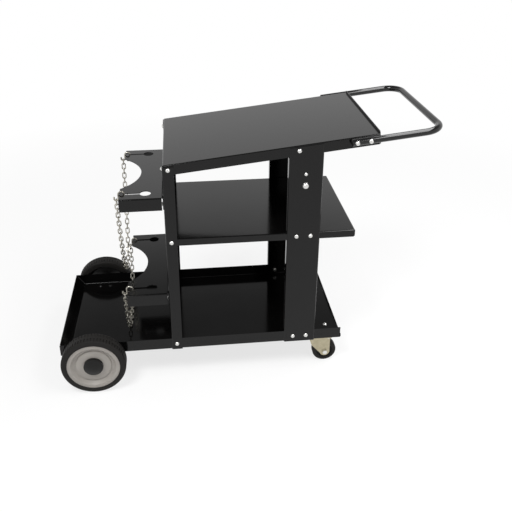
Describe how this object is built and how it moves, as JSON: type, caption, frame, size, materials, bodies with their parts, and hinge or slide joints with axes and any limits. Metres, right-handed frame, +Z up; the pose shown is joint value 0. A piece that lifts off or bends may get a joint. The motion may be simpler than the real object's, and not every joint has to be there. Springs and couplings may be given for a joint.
{
  "type": "welding trolley",
  "caption": "Black sheet-steel welding trolley with sloping top tray, open shelves, rear gas cylinder platform with cradle brackets and chains, rear wheels, swivel casters and push handle.",
  "frame": {"origin": "on the floor under the middle of the overall length and width", "axes": "+Z up, +X towards the handle, +Y towards the trolley's left side"},
  "size_m": [0.9237, 0.41, 0.6701],
  "materials": {
    "black_powder_coat": "gloss",
    "zinc_plated_steel": "satin",
    "black_chrome": "polished",
    "black_rubber": "matte",
    "grey_plastic": "satin",
    "black_plastic": "satin",
    "white_nylon": "satin"
  },
  "bodies": {
    "frame": {"bottom_tray": "black_powder_coat", "middle_shelf": "black_powder_coat", "top_tray": "black_powder_coat", "rear_post_left": "black_powder_coat", "rear_post_right": "black_powder_coat", "front_post_left": "black_powder_coat", "front_post_right": "black_powder_coat", "upper_cylinder_bracket": "black_powder_coat", "lower_cylinder_bracket": "black_powder_coat", "axle_bracket_left": "black_powder_coat", "axle_bracket_right": "black_powder_coat", "post_bolts": "zinc_plated_steel", "post_nuts": "zinc_plated_steel", "bracket_bolts": "zinc_plated_steel", "bracket_nuts": "zinc_plated_steel", "dome_bolt": "zinc_plated_steel", "dome_bolt_nut": "zinc_plated_steel", "post_rivet": "zinc_plated_steel", "handle_bolts": "zinc_plated_steel", "handle_nuts": "zinc_plated_steel", "upper_chain_hooks": "zinc_plated_steel", "lower_chain_hooks": "zinc_plated_steel", "axle_bracket_bolts": "zinc_plated_steel", "axle_bracket_nuts": "zinc_plated_steel", "axle": "zinc_plated_steel", "axle_washers": "zinc_plated_steel", "axle_push_nuts": "zinc_plated_steel", "caster_plate_left": "zinc_plated_steel", "caster_plate_right": "zinc_plated_steel", "caster_bolts": "zinc_plated_steel", "caster_nuts": "zinc_plated_steel", "caster_race_left": "zinc_plated_steel", "caster_race_right": "zinc_plated_steel", "caster_kingpin_left": "zinc_plated_steel", "caster_kingpin_right": "zinc_plated_steel", "handle_tube": "black_chrome", "handle_end_plugs": "black_plastic"},
    "wheel_left": {"tyre_left": "black_rubber", "rim_left": "grey_plastic", "wheel_bush_left": "white_nylon", "hub_cap_left": "black_plastic"},
    "wheel_right": {"tyre_right": "black_rubber", "rim_right": "grey_plastic", "wheel_bush_right": "white_nylon", "hub_cap_right": "black_plastic"},
    "caster_left": {"caster_fork_left": "zinc_plated_steel", "caster_axle_left": "zinc_plated_steel"},
    "caster_left_wheel": {"caster_core_left": "black_plastic", "caster_tread_left": "black_rubber"},
    "caster_right": {"caster_fork_right": "zinc_plated_steel", "caster_axle_right": "zinc_plated_steel"},
    "caster_right_wheel": {"caster_core_right": "black_plastic", "caster_tread_right": "black_rubber"},
    "upper_chain": {"upper_chain": "zinc_plated_steel"},
    "lower_chain": {"lower_chain": "zinc_plated_steel"}
  },
  "joints": [
    {"name": "wheel_left_spin", "type": "hinge", "parent": "frame", "child": "wheel_left", "pos_m": [-0.37888, 0.1815, 0.08], "axis": [0, 1, 0], "continuous": true},
    {"name": "wheel_right_spin", "type": "hinge", "parent": "frame", "child": "wheel_right", "pos_m": [-0.37888, -0.1815, 0.08], "axis": [0, 1, 0], "continuous": true},
    {"name": "caster_left_swivel", "type": "hinge", "parent": "frame", "child": "caster_left", "pos_m": [0.20112, 0.126, 0.0795], "axis": [0, 0, 1], "continuous": true},
    {"name": "caster_left_wheel_spin", "type": "hinge", "parent": "caster_left", "child": "caster_left_wheel", "pos_m": [0.21712, 0.126, 0.0315], "axis": [0, 1, 0], "continuous": true},
    {"name": "caster_right_swivel", "type": "hinge", "parent": "frame", "child": "caster_right", "pos_m": [0.20112, -0.126, 0.0795], "axis": [0, 0, 1], "continuous": true},
    {"name": "caster_right_wheel_spin", "type": "hinge", "parent": "caster_right", "child": "caster_right_wheel", "pos_m": [0.21712, -0.126, 0.0315], "axis": [0, 1, 0], "continuous": true},
    {"name": "upper_chain_swing", "type": "hinge", "parent": "frame", "child": "upper_chain", "pos_m": [-0.29418, 0, 0.4854], "axis": [0, 1, 0], "range_deg": [-25, 60]},
    {"name": "lower_chain_swing", "type": "hinge", "parent": "frame", "child": "lower_chain", "pos_m": [-0.29418, 0, 0.2244], "axis": [0, 1, 0], "range_deg": [-25, 60]}
  ]
}
